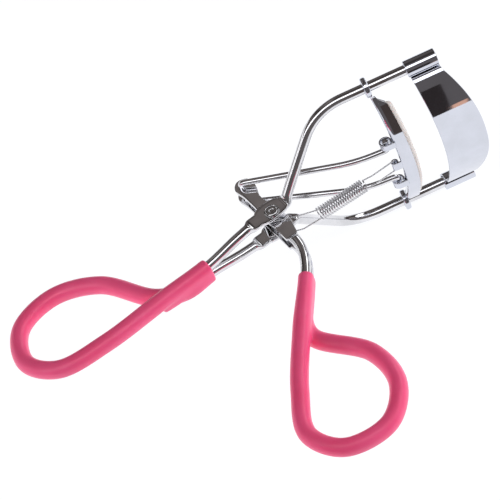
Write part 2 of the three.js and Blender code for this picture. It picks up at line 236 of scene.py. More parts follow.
def piece(name, verts, faces, sharp=40.0, metres=False):
    """A smooth-shaded object from vertices in millimetres around the rivet."""
    mesh = bpy.data.meshes.new(name)
    placed = verts if metres else at(verts)
    mesh.from_pydata([tuple(v) for v in placed], [], [tuple(f) for f in faces])
    mesh.validate()
    bm = bmesh.new()
    bm.from_mesh(mesh)
    bmesh.ops.recalc_face_normals(bm, faces=bm.faces)
    bm.to_mesh(mesh)
    bm.free()
    mesh.shade_smooth()
    mesh.set_sharp_from_angle(angle=math.radians(sharp))
    made = bpy.data.objects.new(name, mesh)
    bpy.context.scene.collection.objects.link(made)
    return made


def grid_faces(rows, columns, closed_rows=False):
    """Quads between rings of vertices stored ring by ring. Closed rows also join the last ring to the
    first."""
    faces = []
    for i in range(rows if closed_rows else rows - 1):
        row, next_row = i * columns, (i + 1) % rows * columns
        for j in range(columns):
            onward = (j + 1) % columns
            faces.append((row + j, row + onward, next_row + onward, next_row + j))
    return faces


def fan_faces(row, columns, centre):
    """Triangles from a ring's vertices to one vertex in its middle."""
    base = row * columns
    return [(base + j, base + (j + 1) % columns, centre) for j in range(columns)]


def path_frames(path):
    """The tangent and two normals at each point, turned as little as possible along the path."""
    tangents = directions(path)
    normal = np.array((0, 0, 1), float)
    nearly_parallel = 0.95
    if abs(normal @ tangents[0]) > nearly_parallel:
        normal = np.array((0, 1, 0), float)
    normals = []
    for tangent in tangents:
        normal = normal - tangent * (normal @ tangent)
        normal /= np.linalg.norm(normal)
        normals.append(normal)
    normals = np.array(normals)
    return tangents, normals, np.cross(tangents, normals)


def end_cap(ring, centre, radius, out, end_round):
    """Rings that round a tube's end off beyond its last ring."""
    inset = min(end_round, radius * 0.999)
    caps = []
    for turn in np.linspace(0, np.pi / 2, 6)[1:]:
        shrink = 1 - (inset / radius) * (1 - math.cos(turn))
        caps.append(centre + (ring - centre) * shrink + out * end_round * math.sin(turn))
    return np.array(caps)


def tube_rings(path, radius, sides, end_round):
    """Rings of vertices along a path. The ends close over a rounding of the given length."""
    radius = np.broadcast_to(np.asarray(radius, float), (len(path),))
    tangents, normals, binormals = path_frames(path)
    angle = np.linspace(0, 2 * np.pi, sides, endpoint=False)
    cos, sin = np.cos(angle)[:, None, None], np.sin(angle)[:, None, None]
    rings = path[None] + radius[None, :, None] * (cos * normals[None] + sin * binormals[None])
    rings = rings.transpose(1, 0, 2)
    rear = end_cap(rings[0], path[0], radius[0], -tangents[0], end_round)
    front = end_cap(rings[-1], path[-1], radius[-1], tangents[-1], end_round)
    return np.concatenate([rear[::-1], rings, front])


def rings_mesh(rings):
    """Vertices and faces of a closed skin over rings, with a fan over each end."""
    rows, columns = rings.shape[:2]
    verts = list(rings.reshape(-1, 3))
    faces = grid_faces(rows, columns)
    for row in (0, rows - 1):
        centre = len(verts)
        verts.append(rings[row].mean(axis=0))
        faces.extend(fan_faces(row, columns, centre))
    return verts, faces


def closed_ring_mesh(rings):
    """Vertices and faces of a skin over rings that come round to the first again."""
    return list(rings.reshape(-1, 3)), grid_faces(*rings.shape[:2], closed_rows=True)


def joined(*parts):
    """Several (vertices, faces) as one."""
    verts, faces = [], []
    for more_verts, more_faces in parts:
        base = len(verts)
        verts.extend(more_verts)
        faces.extend(tuple(base + i for i in face) for face in more_faces)
    return verts, faces


def tube(path, radius, sides, end_round):
    """A round wire along a path, with rounded ends."""
    return rings_mesh(tube_rings(path, radius, sides, end_round))


def strip_rings(path, low, high, half_thick, square, points=36):
    """Rings of a wire flattened in the XY plane. Across the path it runs from low to high, and square
    goes from 2, an ellipse, up to a sharp-cornered bar."""
    tangents = directions(path)
    up = np.array((0, 0, 1.0)) - tangents * tangents[:, 2:3]
    up /= np.linalg.norm(up, axis=1)[:, None]
    across = np.cross(up, tangents)
    angle = np.linspace(0, 2 * np.pi, points, endpoint=False)[None]
    power = (2 / square)[:, None]
    middle = ((low + high) / 2)[:, None]
    half = ((high - low) / 2)[:, None]
    u = middle + half * squared_off(np.cos(angle), power)
    v = half_thick[:, None] * squared_off(np.sin(angle), power)
    return path[:, None] + u[..., None] * across[:, None] + v[..., None] * up[:, None]


def rounded_plate(outline, low_z, high_z, round_edge=0.12, steps=4):
    """A plate in the XY plane with rounded edges, from its outline's points in order."""
    outline = np.asarray(outline, float)
    edge = np.roll(outline, -1, axis=0) - np.roll(outline, 1, axis=0)
    outward = np.stack([edge[:, 1], -edge[:, 0]], axis=1)
    outward /= np.linalg.norm(outward, axis=1)[:, None]
    (x, y), (next_x, next_y) = outline.T, np.roll(outline, -1, axis=0).T
    outward *= np.sign(np.sum(x * next_y - next_x * y))
    lower = [(low_z + round_edge, turn) for turn in np.linspace(-np.pi / 2, 0, steps)]
    upper = [(high_z - round_edge, turn) for turn in np.linspace(0, np.pi / 2, steps)]
    rings = []
    for edge_z, turn in lower + upper:
        inset = round_edge * (1 - math.cos(turn))
        flat = outline - outward * inset
        rings.append(np.column_stack([flat, np.full(len(flat), edge_z + round_edge * math.sin(turn))]))
    rings = np.array(rings)
    rows, columns = rings.shape[:2]
    verts = list(rings.reshape(-1, 3))
    faces = grid_faces(rows, columns)
    faces.append(tuple(range(columns))[::-1])
    faces.append(tuple((rows - 1) * columns + j for j in range(columns)))
    return verts, faces


def rounded_outline(corners, steps=7):
    """A closed outline of straight sides with rounded corners: (x, y, radius) for each corner."""
    count = len(corners)
    out = []
    for i in range(count):
        here = np.array(corners[i][:2], float)
        back = np.array(corners[i - 1][:2], float) - here
        onward = np.array(corners[(i + 1) % count][:2], float) - here
        reach = min(corners[i][2], np.linalg.norm(back) / 2, np.linalg.norm(onward) / 2)
        out += rounded_corner(here, back, onward, reach, steps)
    return np.array(out)


def lathe(profile, segments=64):
    """A solid turned around the rivet's axis from (radius, z) points that start and end on it."""
    angle = np.linspace(0, 2 * np.pi, segments, endpoint=False)
    rings = []
    for radius, z in profile[1:-1]:
        ring = np.column_stack([radius * np.cos(angle), radius * np.sin(angle), np.full(segments, z)])
        rings.append(ring)
    verts = list(np.concatenate(rings))
    faces = grid_faces(len(rings), segments)
    for row, end in ((0, profile[0]), (len(rings) - 1, profile[-1])):
        centre = len(verts)
        verts.append(np.array((0, 0, end[1])))
        faces.extend(fan_faces(row, segments, centre))
    return verts, faces


# --- materials ----------------------------------------------------------------------------------

def new_material(name):
    material = bpy.data.materials.new(name)
    material.use_nodes = True
    tree = material.node_tree
    shader = tree.nodes["Principled BSDF"]
    return material, tree, shader


def noise(tree, scale, detail=3.0, roughness=0.5):
    """Noise in the object's own metres, scale in waves per metre."""
    place = tree.nodes.new("ShaderNodeTexCoord")
    node = tree.nodes.new("ShaderNodeTexNoise")
    node.inputs["Scale"].default_value = scale
    node.inputs["Detail"].default_value = detail
    node.inputs["Roughness"].default_value = roughness
    tree.links.new(place.outputs["Object"], node.inputs["Vector"])
    return node.outputs["Fac"]


def ramp(tree, value, stops):
    """A colour for each value: (position, colour) stops."""
    node = tree.nodes.new("ShaderNodeValToRGB")
    elements = node.color_ramp.elements
    while len(elements) < len(stops):
        elements.new(0.5)
    for element, (position, colour) in zip(elements, stops):
        element.position = position
        element.color = (*colour, 1)
    tree.links.new(value, node.inputs["Fac"])
    return node.outputs["Color"]


def mapped(tree, value, low, high, start=0.3, end=0.7):
    node = tree.nodes.new("ShaderNodeMapRange")
    node.inputs["From Min"].default_value = start
    node.inputs["From Max"].default_value = end
    node.inputs["To Min"].default_value = low
    node.inputs["To Max"].default_value = high
    tree.links.new(value, node.inputs["Value"])
    return node.outputs["Result"]


def bump(tree, shader, value, strength, distance):
    node = tree.nodes.new("ShaderNodeBump")
    node.inputs["Strength"].default_value = strength
    node.inputs["Distance"].default_value = distance
    tree.links.new(value, node.inputs["Height"])
    tree.links.new(node.outputs["Normal"], shader.inputs["Normal"])


def plated(name, dark, light, smooth, dull, ripple=0.00002):
    """Polished nickel or chrome plate: small changes of tone, haze in patches, a faint ripple."""
    material, tree, shader = new_material(name)
    shader.inputs["Metallic"].default_value = 1.0
    tone = ramp(tree, noise(tree, 220, 3), [(0.35, dark), (0.65, light)])
    tree.links.new(tone, shader.inputs["Base Color"])
    tree.links.new(mapped(tree, noise(tree, 350, 4), smooth, dull), shader.inputs["Roughness"])
    bump(tree, shader, noise(tree, 160, 2), 0.2, ripple)
    return material


def coat_material():
    material, tree, shader = new_material("pink_dipped_vinyl")
    tone = ramp(tree, noise(tree, 130, 4), [(0.3, (0.91, 0.078, 0.22)), (0.7, (0.95, 0.105, 0.27))])
    tree.links.new(tone, shader.inputs["Base Color"])
    tree.links.new(mapped(tree, noise(tree, 700, 5, 0.6), 0.34, 0.46), shader.inputs["Roughness"])
    shader.inputs["Subsurface Weight"].default_value = 0.12
    shader.inputs["Subsurface Radius"].default_value = (0.0012, 0.0005, 0.0005)
    shader.inputs["Subsurface Scale"].default_value = 1.0
    shader.inputs["Coat Weight"].default_value = 0.2
    shader.inputs["Coat Roughness"].default_value = 0.3
    bump(tree, shader, noise(tree, 1600, 3), 0.18, 0.00004)
    return material


def pad_material():
    material, tree, shader = new_material("white_silicone")
    tone = ramp(tree, noise(tree, 240, 4), [(0.3, (0.70, 0.64, 0.61)), (0.7, (0.80, 0.75, 0.73))])
    tree.links.new(tone, shader.inputs["Base Color"])
    tree.links.new(mapped(tree, noise(tree, 1200, 4), 0.48, 0.62), shader.inputs["Roughness"])
    shader.inputs["Subsurface Weight"].default_value = 0.2
    shader.inputs["Subsurface Radius"].default_value = (0.001, 0.0008, 0.0007)
    shader.inputs["Subsurface Scale"].default_value = 1.0
    bump(tree, shader, noise(tree, 2500, 3), 0.15, 0.00003)
    return material


CHROME_WIRE = plated("chrome_wire_plate", (0.66, 0.66, 0.68), (0.80, 0.80, 0.82), 0.05, 0.11)
CHROME_SHEET = plated("chrome_sheet_plate", (0.63, 0.65, 0.71), (0.67, 0.69, 0.76), 0.03, 0.05, 0.000006)
RIVET_STEEL = plated("rivet_nickel", (0.50, 0.50, 0.51), (0.68, 0.68, 0.69), 0.16, 0.28)
SPRING_STEEL = plated("spring_steel_wire", (0.55, 0.55, 0.57), (0.74, 0.74, 0.76), 0.10, 0.20)
PINK = coat_material()
WHITE = pad_material()


def finished(made, material, slot, body, *nodes):
    """Gives a piece its material, and has it ride on a body in place of its CAD nodes. The slot is not
    used.
    """
    made.data.materials.clear()
    made.data.materials.append(material)
    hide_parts(*nodes)
    if body:
        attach(made, body)
    return made


# --- wire frame and lever -------------------------------------------------------------------------

def handle_curve(lead, degrees, bulge_side, start, width, lean):
    """A handle's centreline: down one strand, round the finger loop and back up the other."""
    angle = math.radians(degrees)
    along = np.array((math.cos(angle), math.sin(angle)))
    outward = bulge_side * np.array((-math.sin(angle), math.cos(angle)))
    outline = [
        (0, lean, 1),
        (0.51, lean / 2, 1),
        (0.86, 0.11, 0.8),
        (0.99, 0.46, 0.3),
        (0.85, 0.9, -0.2),
        (0.53, 1.01, -0.6),
        (0.24, 0.77, -0.9),
        (0.03, 0.18, -1),
        (-0.15, lean, -1),
    ]
    loop = []
    for u, v, crossing in outline:
        place = along * (start[0] + u * LOOP_LENGTH) + outward * (start[1] + v * width)
        loop.append((place[0], place[1], crossing * STRAND_HALF_GAP))
    return smooth_curve([*lead, *loop, *mirrored(lead)])


FRAME_LEAD = [(*EAR_REAR, EAR_MID_Z), (-9, -2.1, 2.4), (-16.1, -4.25, STRAND_HALF_GAP)]
LEVER_EAR_MID_Z = LEVER_EAR_LOW_Z + EAR_T / 2
LEVER_LEAD = [(1.45, -5.4, LEVER_EAR_MID_Z), (2.2, -10.2, 1.3), (1.35, -15, STRAND_HALF_GAP)]
FRAME_HANDLE = handle_curve(FRAME_LEAD, 196.65, -1, (27.6, 0.62), 19.5, 0)
LEVER_HANDLE = handle_curve(LEVER_LEAD, 251.7, 1, (29.2, 2.85), 19.65, 0.09)


def frame_half_path(side):
    """From the rail's tip down to the ear and through it to its rear end."""
    rail = bent([
        ((RAIL_TIP_X, RAIL_Y, RAIL_Z), 0),
        ((RAIL_CORNER_X, RAIL_Y, RAIL_Z), RAIL_BEND),
        ((5.4, 2.45, 5.4), 1.8),
        ((*EAR_FRONT, EAR_MID_Z), 0),
    ])
    ear = [(*EAR_FRONT, EAR_MID_Z), (*EAR_REAR, EAR_MID_Z)]
    path = np.concatenate([rail[:-1], ear])
    return path * (1, 1, side)


def ear_section(path):
    """The frame wire's section at each point: how far it reaches to either side of its path, half its
    thickness, and how square it is. It is round, except where it is flattened into an ear with an eye."""
    # how far along the ear's own axis a point is, from the ear's rear end
    ear = np.array(EAR_FRONT) - np.array(EAR_REAR)
    length = np.linalg.norm(ear)
    axis = ear / length
    spot = (path[:, :2] - np.array(EAR_REAR)) @ axis
    level_with_ear = np.abs(np.abs(path[:, 2]) - EAR_MID_Z) < EAR_NEAR_Z
    near_ear = level_with_ear & (spot > -EAR_NEAR_X) & (spot < length + EAR_NEAR_X)
    rising, falling = smoothstep(spot, -1.1, 0.1), smoothstep(spot, length - 0.6, length + 0.9)
    flat = np.where(near_ear, rising * (1 - falling), 0)
    eye_spot = (np.array(EYE_AT) - np.array(EAR_REAR)) @ axis
    eye = np.sqrt(np.clip(1 - ((spot - eye_spot) / EYE_REACH) ** 2, 0, 1)) * (near_ear & (flat > 0))
    half = WIRE_R + (EAR_HALF_HEIGHT - WIRE_R) * flat
    below = half + EYE_BULGE_BELOW * eye
    above = half + EYE_BULGE * eye
    # the wire runs rearwards on the near side and forwards on the far side
    far_side = path[:, 2] < 0
    low, high = np.where(far_side, -below, -above), np.where(far_side, above, below)
    return low, high, WIRE_R + (EAR_T / 2 - WIRE_R) * flat, 2 + 5 * flat


def frame_wire():
    """One wire from rail tip to rail tip: both rails, both ears and the handle between them."""
    near = frame_half_path(1)
    far = frame_half_path(-1)[::-1]
    path = resample(np.concatenate([near[:-1], FRAME_HANDLE, far[1:]]), 0.3)
    rings = strip_rings(path, *ear_section(path))
    made = piece("chrome_frame_wire", *rings_mesh(rings), sharp=50)
    return finished(made, CHROME_WIRE, "chrome_wire", "frame", "frame_wire")


LEVER_OUTLINE = [
    (0.15, -7.0, 0.25), (2.9, -6.5, 0.5), (2.85, -1.9, 0.5), (1.9, 0.6, 1.2), (0.75, 3.2, 2.0),
    (-0.85, 6.6, 2.2), (-0.35, 9.7, 1.4), (-0.9, 12.5, 1.5), (-3.9, 12.95, 1.8), (-5.1, 10.7, 1.6),
    (-3.75, 8.1, 1.6), (-3.0, 5.3, 2.2), (-1.85, 1.6, 2.0), (-1.55, -1.4, 1.2), (-1.0, -2.7, 0.8),
]


def lever_wire():
    """Two stamped ears with the handle's wire running out of their feet."""
    parts = []
    for side in (1, -1):
        low = LEVER_EAR_LOW_Z if side > 0 else -LEVER_EAR_LOW_Z - EAR_T
        parts.append(rounded_plate(rounded_outline(LEVER_OUTLINE), low, low + EAR_T))
    foot = [(1.4, -4.6, LEVER_EAR_MID_Z), LEVER_LEAD[0]]
    whole = np.concatenate([foot[:1], LEVER_HANDLE, mirrored(foot)[1:]])
    path = resample(whole, 0.3)
    # the wire is pressed flat in the ear's foot and sinks a little into it
    foot_x, foot_reach, sunk = 1.7, 2.5, 0.06
    spread = 1 - smoothstep(-path[:, 1], 6.3, 8.0)
    in_foot = np.where(np.abs(path[:, 0] - foot_x) < foot_reach, spread, 0)
    half = WIRE_R + 0.1 * in_foot
    thick = WIRE_R + (EAR_T / 2 - sunk - WIRE_R) * in_foot
    rings = strip_rings(path, -half, half, thick, 2 + 2 * in_foot)
    parts.append(rings_mesh(rings))
    made = piece("chrome_lever_wire", *joined(*parts), sharp=12)
    return finished(made, CHROME_WIRE, "chrome_wire", "lever", "lever_wire")


def dipped_coat(name, handle, web_length, neck, body, node):
    """The vinyl over a handle: a tube along it, filled in between its two strands near the neck."""
    whole = path_length(handle)
    coated = resample(stretch(handle, COAT_START, whole - COAT_START), 0.4)
    along = np.linspace(0, 1, len(coated)) * path_length(coated)
    from_end = np.minimum(along, along[-1] - along)
    swell = smoothstep(from_end, 0, 14)
    parts = [tube(coated, COAT_R * (neck + (1 - neck) * swell), 24, COAT_END)]
    strand = resample(stretch(handle, COAT_START, COAT_START + web_length), 0.4)
    for level in (-0.5, 0.0, 0.5):
        web = strand * (1, 1, level)
        taper = np.linspace(0, 1, len(web))
        radius = COAT_R * (neck + (1 - neck) * taper) * (1 - 0.25 * taper ** 3) - 0.02
        parts.append(tube(web, radius, 20, COAT_END))
    made = piece(name, *joined(*parts))
    remesh = made.modifiers.new("one skin", "REMESH")
    remesh.mode = "VOXEL"
    remesh.voxel_size = 0.24 * MM
    smooth = made.modifiers.new("flow together", "SMOOTH")
    smooth.factor = 0.6
    smooth.iterations = 16
    bake_modifiers(made)
    made.data.shade_smooth()
    return finished(made, PINK, "pink_coat", body, node)


def bake_modifiers(made):
    """Puts the result of an object's modifiers into its mesh."""
    view = bpy.context.evaluated_depsgraph_get()
    mesh = bpy.data.meshes.new_from_object(made.evaluated_get(view))
    made.modifiers.clear()
    made.data = mesh


# --- rivet, washers and push link -----------------------------------------------------------------

def rivet():
    """A turned pin with a domed, ringed head and a dimple on each side."""
    seat = cad_box("hinge_rivet")[1][2] - 0.6
    head_r, pin_r = 1.6, 0.88
    outer = [
        (pin_r, seat), (head_r - 0.06, seat), (head_r, seat + 0.08), (head_r, seat + 0.26),
        (head_r - 0.08, seat + 0.38), (head_r - 0.22, seat + 0.42), (head_r - 0.3, seat + 0.34),
        (head_r - 0.38, seat + 0.42), (head_r - 0.5, seat + 0.5), (0.72, seat + 0.54),
        (0.6, seat + 0.5), (0.5, seat + 0.36), (0.4, seat + 0.3),
    ]
    profile = [(0, seat + 0.28), *outer[::-1], *((r, -z) for r, z in outer), (0, -seat - 0.28)]
    return finished(piece("hinge_rivet_turned", *lathe(profile), sharp=35), RIVET_STEEL, "rivet_steel",
                    "frame", "hinge_rivet")


def washer(node):
    """A pressed ring with rounded rims."""
    low, high = cad_box(node)
    outer, inner, thick = (high[0] - low[0]) / 2, 0.98, high[2] - low[2]
    middle = (low[2] + high[2]) / 2
    turns = np.linspace(0, 2 * np.pi, 20, endpoint=False)
    section = np.column_stack([
        (outer + inner) / 2 + (outer - inner) / 2 * squared_off(np.cos(turns), 0.4),
        middle + thick / 2 * squared_off(np.sin(turns), 0.4)])
    angle = np.linspace(0, 2 * np.pi, 64, endpoint=False)
    rings = np.array([[(r * math.cos(a), r * math.sin(a), z) for r, z in section] for a in angle])
    made = piece(node + "_ring", *closed_ring_mesh(rings))
    return finished(made, RIVET_STEEL, "rivet_steel", "frame", node)


LINK_TIP_HALF = 3.1
LINK_KNEE = (19.5, 1.8)
LINK_KNEE_HALF = 4.3
LINK_FRONT = (26.5, 1.4)
LINK_END_HALF = 6.85


def push_link():
    """One bent wire: a pin through the lever's tips, two arms and two turned-out ends."""
    half = [
        ((*LINK_FRONT, LINK_END_HALF), 0),
        ((*LINK_FRONT, LINK_KNEE_HALF), 1.0),
        ((*LINK_KNEE, LINK_KNEE_HALF), 4.0),
        ((*LEVER_TIP, LINK_TIP_HALF), 1.0),
    ]
    path = resample(bent(both_sides(half)), 0.2)
    made = piece("push_link_wire", *tube(path, LINK_WIRE_R, 20, 0.12))
    return finished(made, CHROME_WIRE, "chrome_wire", "link", "push_link")


# --- jaws ---------------------------------------------------------------------------------------

def arc_place(across, lift):
    """(y, z) on the jaws' arc: across is the distance along Z, lift the distance in from the arc."""
    angle = np.arcsin(np.clip(across / JAW_ARC_R, -1, 1))
    radius = JAW_ARC_R - lift
    return JAW_ARC_CENTRE_Y - radius * np.cos(angle), radius * np.sin(angle)


def bow(across, middle, bulge):
    """An edge's X, which bows forward in the middle of the jaw."""
    return middle + bulge * (1 - (across / RAIL_Z) ** 2)


def sheet_from_ribbon(centre, rear, front, thick, columns=36, edge=0.14):
    """A sheet of metal from its centreline in the YZ plane and the X of its rear and front edges."""
    shares = (1 - np.cos(np.linspace(0, np.pi, columns))) / 2
    turns = np.linspace(np.pi / 2, -np.pi / 2, 7)[1:-1]
    half = thick / 2
    rows = []
    for (y, z), (ny, nz), low, high in zip(centre, sideways(centre), rear, front):
        flat = low + edge + (high - low - 2 * edge) * shares
        ring = [(x, half) for x in flat]
        ring += [(high - edge + edge * math.cos(turn), half * math.sin(turn)) for turn in turns]
        ring += [(x, -half) for x in flat[::-1]]
        ring += [(low + edge - edge * math.cos(turn), -half * math.sin(turn)) for turn in turns]
        rows.append([(x, y + ny * off, z + nz * off) for x, off in ring])
    return rings_mesh(np.array(rows))


def fixed_jaw():
    """The visor: one sheet, curled at each end round a rail's tip."""
    thick = 0.5
    curl = SLEEVE_R - thick / 2
    across = np.linspace(0, RAIL_Z - 2.6, 60)
    arc = np.column_stack(arc_place(across, thick / 2))
    slope = arc[-1] - arc[-2]
    slope /= np.linalg.norm(slope)
    beside_rail = np.array((RAIL_Y - 0.2, RAIL_Z - curl))
    lift = smooth_bridge(arc[-1], slope, beside_rail, np.array((1.0, 0.0)))
    turns = np.radians(np.linspace(188, -128, 60))
    wrap = np.column_stack([RAIL_Y + curl * np.sin(turns), RAIL_Z + curl * np.cos(turns)])
    half = np.concatenate([arc, lift[1:-1], wrap])
    centre = np.concatenate([(half * (1, -1))[::-1][:-1], half])
    centre = resample(np.column_stack([centre, np.zeros(len(centre))]), 0.22)[:, :2]
    reach = np.minimum(np.abs(centre[:, 1]), RAIL_Z)
    rear_bow, front_bow = 1.4 * (1 - (reach / RAIL_Z) ** 2), 5.2 * (1 - (reach / RAIL_Z) ** 2.4)
    in_sleeve = smoothstep(reach, RAIL_Z - 1.9, RAIL_Z - 0.6)
    rear = FIXED_LOW[0] + 0.2 + rear_bow * (1 - in_sleeve) - 0.2 * in_sleeve
    front = FIXED_LOW[0] + 5.7 + front_bow * (1 - in_sleeve) + 1.1 * in_sleeve
    made = piece("visor_jaw", *sheet_from_ribbon(centre, rear, front, thick), sharp=60)
    return finished(made, CHROME_SHEET, "chrome_plate", "frame", "fixed_jaw")


def smooth_bridge(start, leaving, end, arriving, steps=14):
    """A cubic between two points with a direction at each."""
    reach = np.linalg.norm(end - start) * 0.9
    t = np.linspace(0, 1, steps)[:, None]
    h00, h10 = 2 * t ** 3 - 3 * t ** 2 + 1, t ** 3 - 2 * t ** 2 + t
    h01, h11 = -2 * t ** 3 + 3 * t ** 2, t ** 3 - t ** 2
    return h00 * start + h10 * reach * leaving + h01 * end + h11 * reach * arriving


CHANNEL_REAR_X = LINK_FRONT[0] + 0.35
CHANNEL_REAR_BOW = 1.15
CHANNEL_H = 2.3
CHANNEL_WALL = 0.45
CHANNEL_DEPTH = 2.4
CHANNEL_FULL_Z = 14.6
STRIP_H = 1.5
STRIP_DEPTH = 1.1
EYELET_R = 2.22
EYELET_T = 1.2
EYELET_REAR_X = CHANNEL_REAR_X - 0.4
LINK_TAB_Z = 6.05
HOOK_TAB = (CHANNEL_REAR_X, 0.6)


def moving_jaw():
    """The sliding jaw: a channel bent from sheet along the arc, eyelets on the rails, curled tabs."""
    parts = [channel()]
    for side in (1, -1):
        parts.append(eyelet(side))
        parts.append(curled_tab(*LINK_FRONT, bore=0.95, middle_z=side * LINK_TAB_Z, width=1.6))
    parts.append(curled_tab(*HOOK_TAB, bore=0.4, middle_z=0, width=2.0))
    made = piece("sliding_jaw", *joined(*parts), sharp=50)
    return finished(made, CHROME_SHEET, "chrome_plate", "slider", "moving_jaw")


def channel():
    """A U of sheet, open to the front, narrowing to a strip near the rails."""
    across = np.linspace(-RAIL_Z + 1.5, RAIL_Z - 1.5, 150)
    rows = []
    for s in across:
        full = float(1 - smoothstep(abs(s), CHANNEL_FULL_Z, RAIL_Z - 1.7))
        base = bow(s, CHANNEL_REAR_X, CHANNEL_REAR_BOW)
        depth = bow(s, CHANNEL_REAR_X + CHANNEL_DEPTH, JAW_BOW) - base
        depth = STRIP_DEPTH + (depth - STRIP_DEPTH) * full
        height = STRIP_H + (CHANNEL_H - STRIP_H) * full
        ring = []
        for x, lift in channel_section(depth, height, CHANNEL_WALL):
            y, z = arc_place(s, lift + (CHANNEL_H - height) / 2)
            ring.append((base + x, y, z))
        rows.append(ring)
    return rings_mesh(np.array(rows))


def channel_section(depth, height, wall, bend=0.75):
    """The U's outline as (x, lift): round the outside, and back along the inside."""
    outside = channel_turn(depth, height, 0, bend)
    inside = channel_turn(depth, height, wall, bend - wall)
    return outside + inside[::-1]


def channel_turn(depth, height, inset, radius, steps=7):
    """The outline of a U with rounded corners, inset from the outside of the sheet."""
    bend = inset + radius
    turns = np.linspace(0, np.pi / 2, steps)
    shares = np.linspace(0, 1, 6)[1:]
    out = [(bend + (depth - bend) * share, inset) for share in shares[::-1]]
    out += [(bend - radius * math.sin(turn), bend - radius * math.cos(turn)) for turn in turns]
    out += [(bend - radius * math.cos(turn), height - bend + radius * math.sin(turn)) for turn in turns]
    out += [(bend + (depth - bend) * share, height - inset) for share in shares]
    return out


def eyelet(side):
    """A rounded ring round a rail, which guides the sliding jaw."""
    bore = WIRE_R + 0.12
    turns = np.linspace(0, 2 * np.pi, 24, endpoint=False)
    radius = (EYELET_R + bore) / 2 + (EYELET_R - bore) / 2 * squared_off(np.cos(turns), 0.6)
    x = EYELET_REAR_X + EYELET_T / 2 + EYELET_T / 2 * squared_off(np.sin(turns), 0.7)
    rings = []
    for a in np.linspace(0, 2 * np.pi, 56, endpoint=False):
        ring = np.column_stack([x, RAIL_Y + radius * math.cos(a), side * RAIL_Z + radius * math.sin(a)])
        rings.append(ring)
    return closed_ring_mesh(np.array(rings))


def curled_tab(x, y, bore, middle_z, width, wall=0.4):
    """A strap from the channel's back, rolled into an open curl round an axis along Z."""
    radius = bore + wall / 2
    turns = np.radians(np.linspace(0, 305, 40))
    curl = np.column_stack([x - radius * np.sin(turns), y - radius * np.cos(turns)])
    root = np.array([(x + 1.7, y - radius), (x + 0.9, y - radius)])
    centre = np.concatenate([root, curl])
    section = rounded_bar(wall / 2, width / 2, edge=0.1)
    rows = []
    for (cx, cy), (nx, ny) in zip(centre, sideways(centre)):
        rows.append([(cx + nx * off, cy + ny * off, middle_z + z) for off, z in section])
    return rings_mesh(np.array(rows))


def rounded_bar(half_thick, half_width, edge, steps=4):
    """A rectangle with rounded corners, as (thickness, width) places."""
    out = []
    corners = ((1, 1, 0), (-1, 1, 90), (-1, -1, 180), (1, -1, 270))
    for a, b, begin in corners:
        for turn in np.radians(np.linspace(begin, begin + 90, steps)):
            out.append((a * (half_thick - edge) + edge * math.cos(turn),
                        b * (half_width - edge) + edge * math.sin(turn)))
    return out


def jaw_pad():
    """The soft strip in the channel, with a rounded lip that stands out in front."""
    play, lip_r, end_round = 0.1, 0.8, 0.7
    middle, half = CHANNEL_H / 2, CHANNEL_H / 2 - CHANNEL_WALL - play
    pad_half = (PAD_HIGH[2] - PAD_LOW[2]) / 2
    rear_x = CHANNEL_REAR_X + CHANNEL_WALL + play
    front_x = PAD_HIGH[0] - JAW_BOW
    turns = np.linspace(-np.pi / 2, np.pi / 2, 15)
    shares = np.linspace(0, 1, 6)
    rows = []
    for s in np.linspace(-pad_half, pad_half, 140):
        # the pad's ends round off: full is 1 up to where the rounding starts, and 0 at the tip
        full = min(1.0, (pad_half - abs(s)) / end_round)
        shrink = max(math.sqrt(max(0.0, 1 - (1 - full) ** 2)), 0.05)
        lip_x = rear_x + (front_x - rear_x) * (0.55 + 0.45 * shrink) - lip_r
        edge = half * shrink
        ring = [(lip_x + lip_r * math.cos(turn), middle + edge * math.sin(turn)) for turn in turns]
        ring += [(rear_x + (lip_x - rear_x) * share, middle + edge) for share in shares[::-1]]
        ring += [(rear_x + (lip_x - rear_x) * share, middle - edge) for share in shares]
        rows.append([(bow(s, 0, JAW_BOW) + x, *arc_place(s, lift)) for x, lift in ring])
    made = piece("white_jaw_pad", *rings_mesh(np.array(rows)), sharp=70)
    return finished(made, WHITE, "white_pad", "slider", "jaw_pad")


# --- return spring --------------------------------------------------------------------------------

COIL_R = 1.55 - SPRING_WIRE_R
COIL_TURNS = 20
COIL_REAR = (8.5, -3.0)
COIL_FRONT = (19.3, -0.85)
REAR_HOOK = [(4.4, -2.95), (-2.55, -1.1)]
REAR_HOOK_HALF = 2.175
FRONT_HOOK = [(21.4, -0.7), HOOK_TAB]
FRONT_HOOK_HALF = 1.35


def hook(coil_end, places, half):
    """A triangle of wire from one side of the coil's end, through the places, and back."""
    side = [((*coil_end, COIL_R), 0), *(((*place, half), 0.35) for place in places)]
    return tube(resample(bent(both_sides(side)), 0.15), SPRING_WIRE_R, 12, 0.05)


def return_spring():
    """A close coil between two long hooks."""
    rear, front = np.array((*COIL_REAR, 0.0)), np.array((*COIL_FRONT, 0.0))
    axis = front - rear
    across = np.array((-axis[1], axis[0], 0.0))
    across /= np.linalg.norm(across)
    t = np.linspace(0, 1, COIL_TURNS * 28)
    turn = 2 * np.pi * COIL_TURNS * t
    coil = rear + t[:, None] * axis + COIL_R * np.sin(turn)[:, None] * across
    coil[:, 2] += COIL_R * np.cos(turn)
    parts = [
        tube(coil, SPRING_WIRE_R, 10, 0.05),
        hook(COIL_REAR, REAR_HOOK, REAR_HOOK_HALF),
        hook(COIL_FRONT, FRONT_HOOK, FRONT_HOOK_HALF),
    ]
    made = piece("return_spring_coil", *joined(*parts))
    finished(made, SPRING_STEEL, "spring_steel", None, "return_spring")
    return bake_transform(made)


